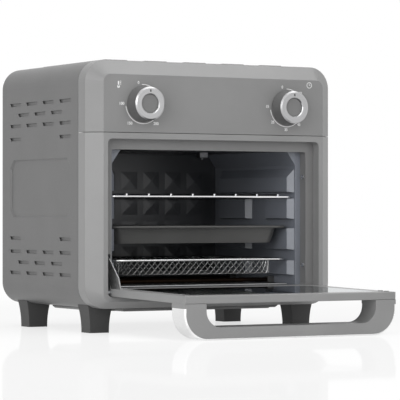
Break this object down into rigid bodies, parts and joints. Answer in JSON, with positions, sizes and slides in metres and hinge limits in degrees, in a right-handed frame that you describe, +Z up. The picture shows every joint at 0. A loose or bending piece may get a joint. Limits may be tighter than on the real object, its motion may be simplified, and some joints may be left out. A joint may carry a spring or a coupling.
{
  "type": "air fryer oven",
  "caption": "Compact worktop air fryer oven with a drop-down glass door, two dials, a wire rack, a baking tray, a mesh basket and a crumb tray.",
  "frame": {"origin": "middle of the object's box at the level of the feet, with the door open", "axes": "+X to the right of the front, +Y to the back, +Z up"},
  "size_m": [0.36, 0.452, 0.3461],
  "materials": {
    "shell_paint": "satin grey powder coat on folded steel sheet",
    "fascia_paint": "moulded heat resistant plastic, satin grey paint",
    "frame_paint": "satin grey painted steel frame",
    "cavity_enamel": "glossy blue grey non-stick coating on pressed steel",
    "galvanised": "bare galvanised steel sheet",
    "foot_rubber": "moulded dark rubber, matt",
    "knob_plastic": "moulded dark grey plastic",
    "knob_metal": "turned and brushed aluminium ring",
    "cap_plastic": "moulded grey cap with a soft gloss",
    "wire_chrome": "bright chrome plated wire",
    "tray_coating": "dark non-stick coating on pressed steel",
    "mesh_steel": "woven stainless wire, satin",
    "crumb_steel": "thin pressed aluminium, satin",
    "heater_steel": "heater tube, heat tinted dark brown",
    "ceramic": "white insulating ceramic",
    "control_plastic": "pale moulded control housing",
    "copper_motor": "laminated motor steel",
    "zinc_screw": "bright zinc plated screw",
    "door_paint": "satin grey painted door frame",
    "door_glass": "tempered glass, polished and tinted",
    "hinge_steel": "pressed steel hinge arm, satin",
    "handle_paint": "moulded grey handle core",
    "handle_trim": "pale silver anodised strip",
    "gland_plastic": "black moulded nylon gland"
  },
  "bodies": {
    "oven": {"housing_wrap": "shell_paint", "rear_panel": "galvanised", "rear_screws": "zinc_screw", "base_plate": "frame_paint", "foot_front_left": "foot_rubber", "foot_front_right": "foot_rubber", "foot_rear_left": "foot_rubber", "foot_rear_right": "foot_rubber", "foot_screws": "zinc_screw", "control_panel": "fascia_paint", "front_frame": "fascia_paint", "inner_frame": "frame_paint", "control_bracket": "galvanised", "thermostat": "control_plastic", "timer": "control_plastic", "timer_bell": "zinc_screw", "cavity_left": "cavity_enamel", "cavity_right": "cavity_enamel", "cavity_back": "cavity_enamel", "cavity_top": "cavity_enamel", "cavity_floor": "cavity_enamel", "cavity_screws": "zinc_screw", "fan_dome": "galvanised", "fan_guard": "cavity_enamel", "fan_motor": "copper_motor", "motor_bracket": "galvanised", "upper_heater": "heater_steel", "lower_heaters": "heater_steel", "heater_bushes": "ceramic", "heater_brackets": "tray_coating", "sensor_clip": "mesh_steel", "cord_gland": "gland_plastic", "terminal_block": "ceramic", "hinge_pins": "zinc_screw"},
    "door": {"door_frame": "door_paint", "door_inner_glass": "door_glass", "door_outer_glass": "door_glass", "hinge_arm": "hinge_steel", "handle_core": "handle_paint", "handle_trim": "handle_trim", "handle_screws": "zinc_screw"},
    "temp_dial": {"temp_knob": "knob_plastic", "temp_knob_ring": "knob_metal", "temp_knob_cap": "cap_plastic", "temp_shaft": "zinc_screw"},
    "timer_dial": {"timer_knob": "knob_plastic", "timer_knob_ring": "knob_metal", "timer_knob_cap": "cap_plastic", "timer_shaft": "zinc_screw"},
    "fan": {"fan_blade": "crumb_steel", "cooling_fan": "crumb_steel", "motor_shaft": "zinc_screw"},
    "rack": {"wire_rack": "wire_chrome"},
    "tray": {"baking_tray": "tray_coating"},
    "basket": {"basket_rim": "mesh_steel", "basket_mesh": "mesh_steel"},
    "crumbs": {"crumb_tray": "crumb_steel"}
  },
  "joints": [
    {"name": "door_hinge", "type": "hinge", "parent": "oven", "child": "door", "pos_m": [0, -0.03522, 0.0517], "axis": [-1, 0, 0], "range_deg": [0, 91]},
    {"name": "temp_turn", "type": "hinge", "parent": "oven", "child": "temp_dial", "pos_m": [-0.106, -0.04102, 0.2875], "axis": [0, 1, 0], "range_deg": [0, 270]},
    {"name": "timer_turn", "type": "hinge", "parent": "oven", "child": "timer_dial", "pos_m": [0.106, -0.04102, 0.2875], "axis": [0, 1, 0], "range_deg": [0, 300]},
    {"name": "fan_spin", "type": "hinge", "parent": "oven", "child": "fan", "pos_m": [0, 0.09098, 0.2786], "axis": [0, 0, 1], "continuous": true},
    {"name": "rack_slide", "type": "slide", "parent": "oven", "child": "rack", "axis": [0, 1, 0], "range_m": [-0.16, 0]},
    {"name": "tray_slide", "type": "slide", "parent": "oven", "child": "tray", "axis": [0, 1, 0], "range_m": [-0.16, 0]},
    {"name": "basket_slide", "type": "slide", "parent": "oven", "child": "basket", "axis": [0, 1, 0], "range_m": [-0.16, 0]},
    {"name": "crumb_slide", "type": "slide", "parent": "oven", "child": "crumbs", "axis": [0, 1, 0], "range_m": [-0.16, 0]}
  ]
}
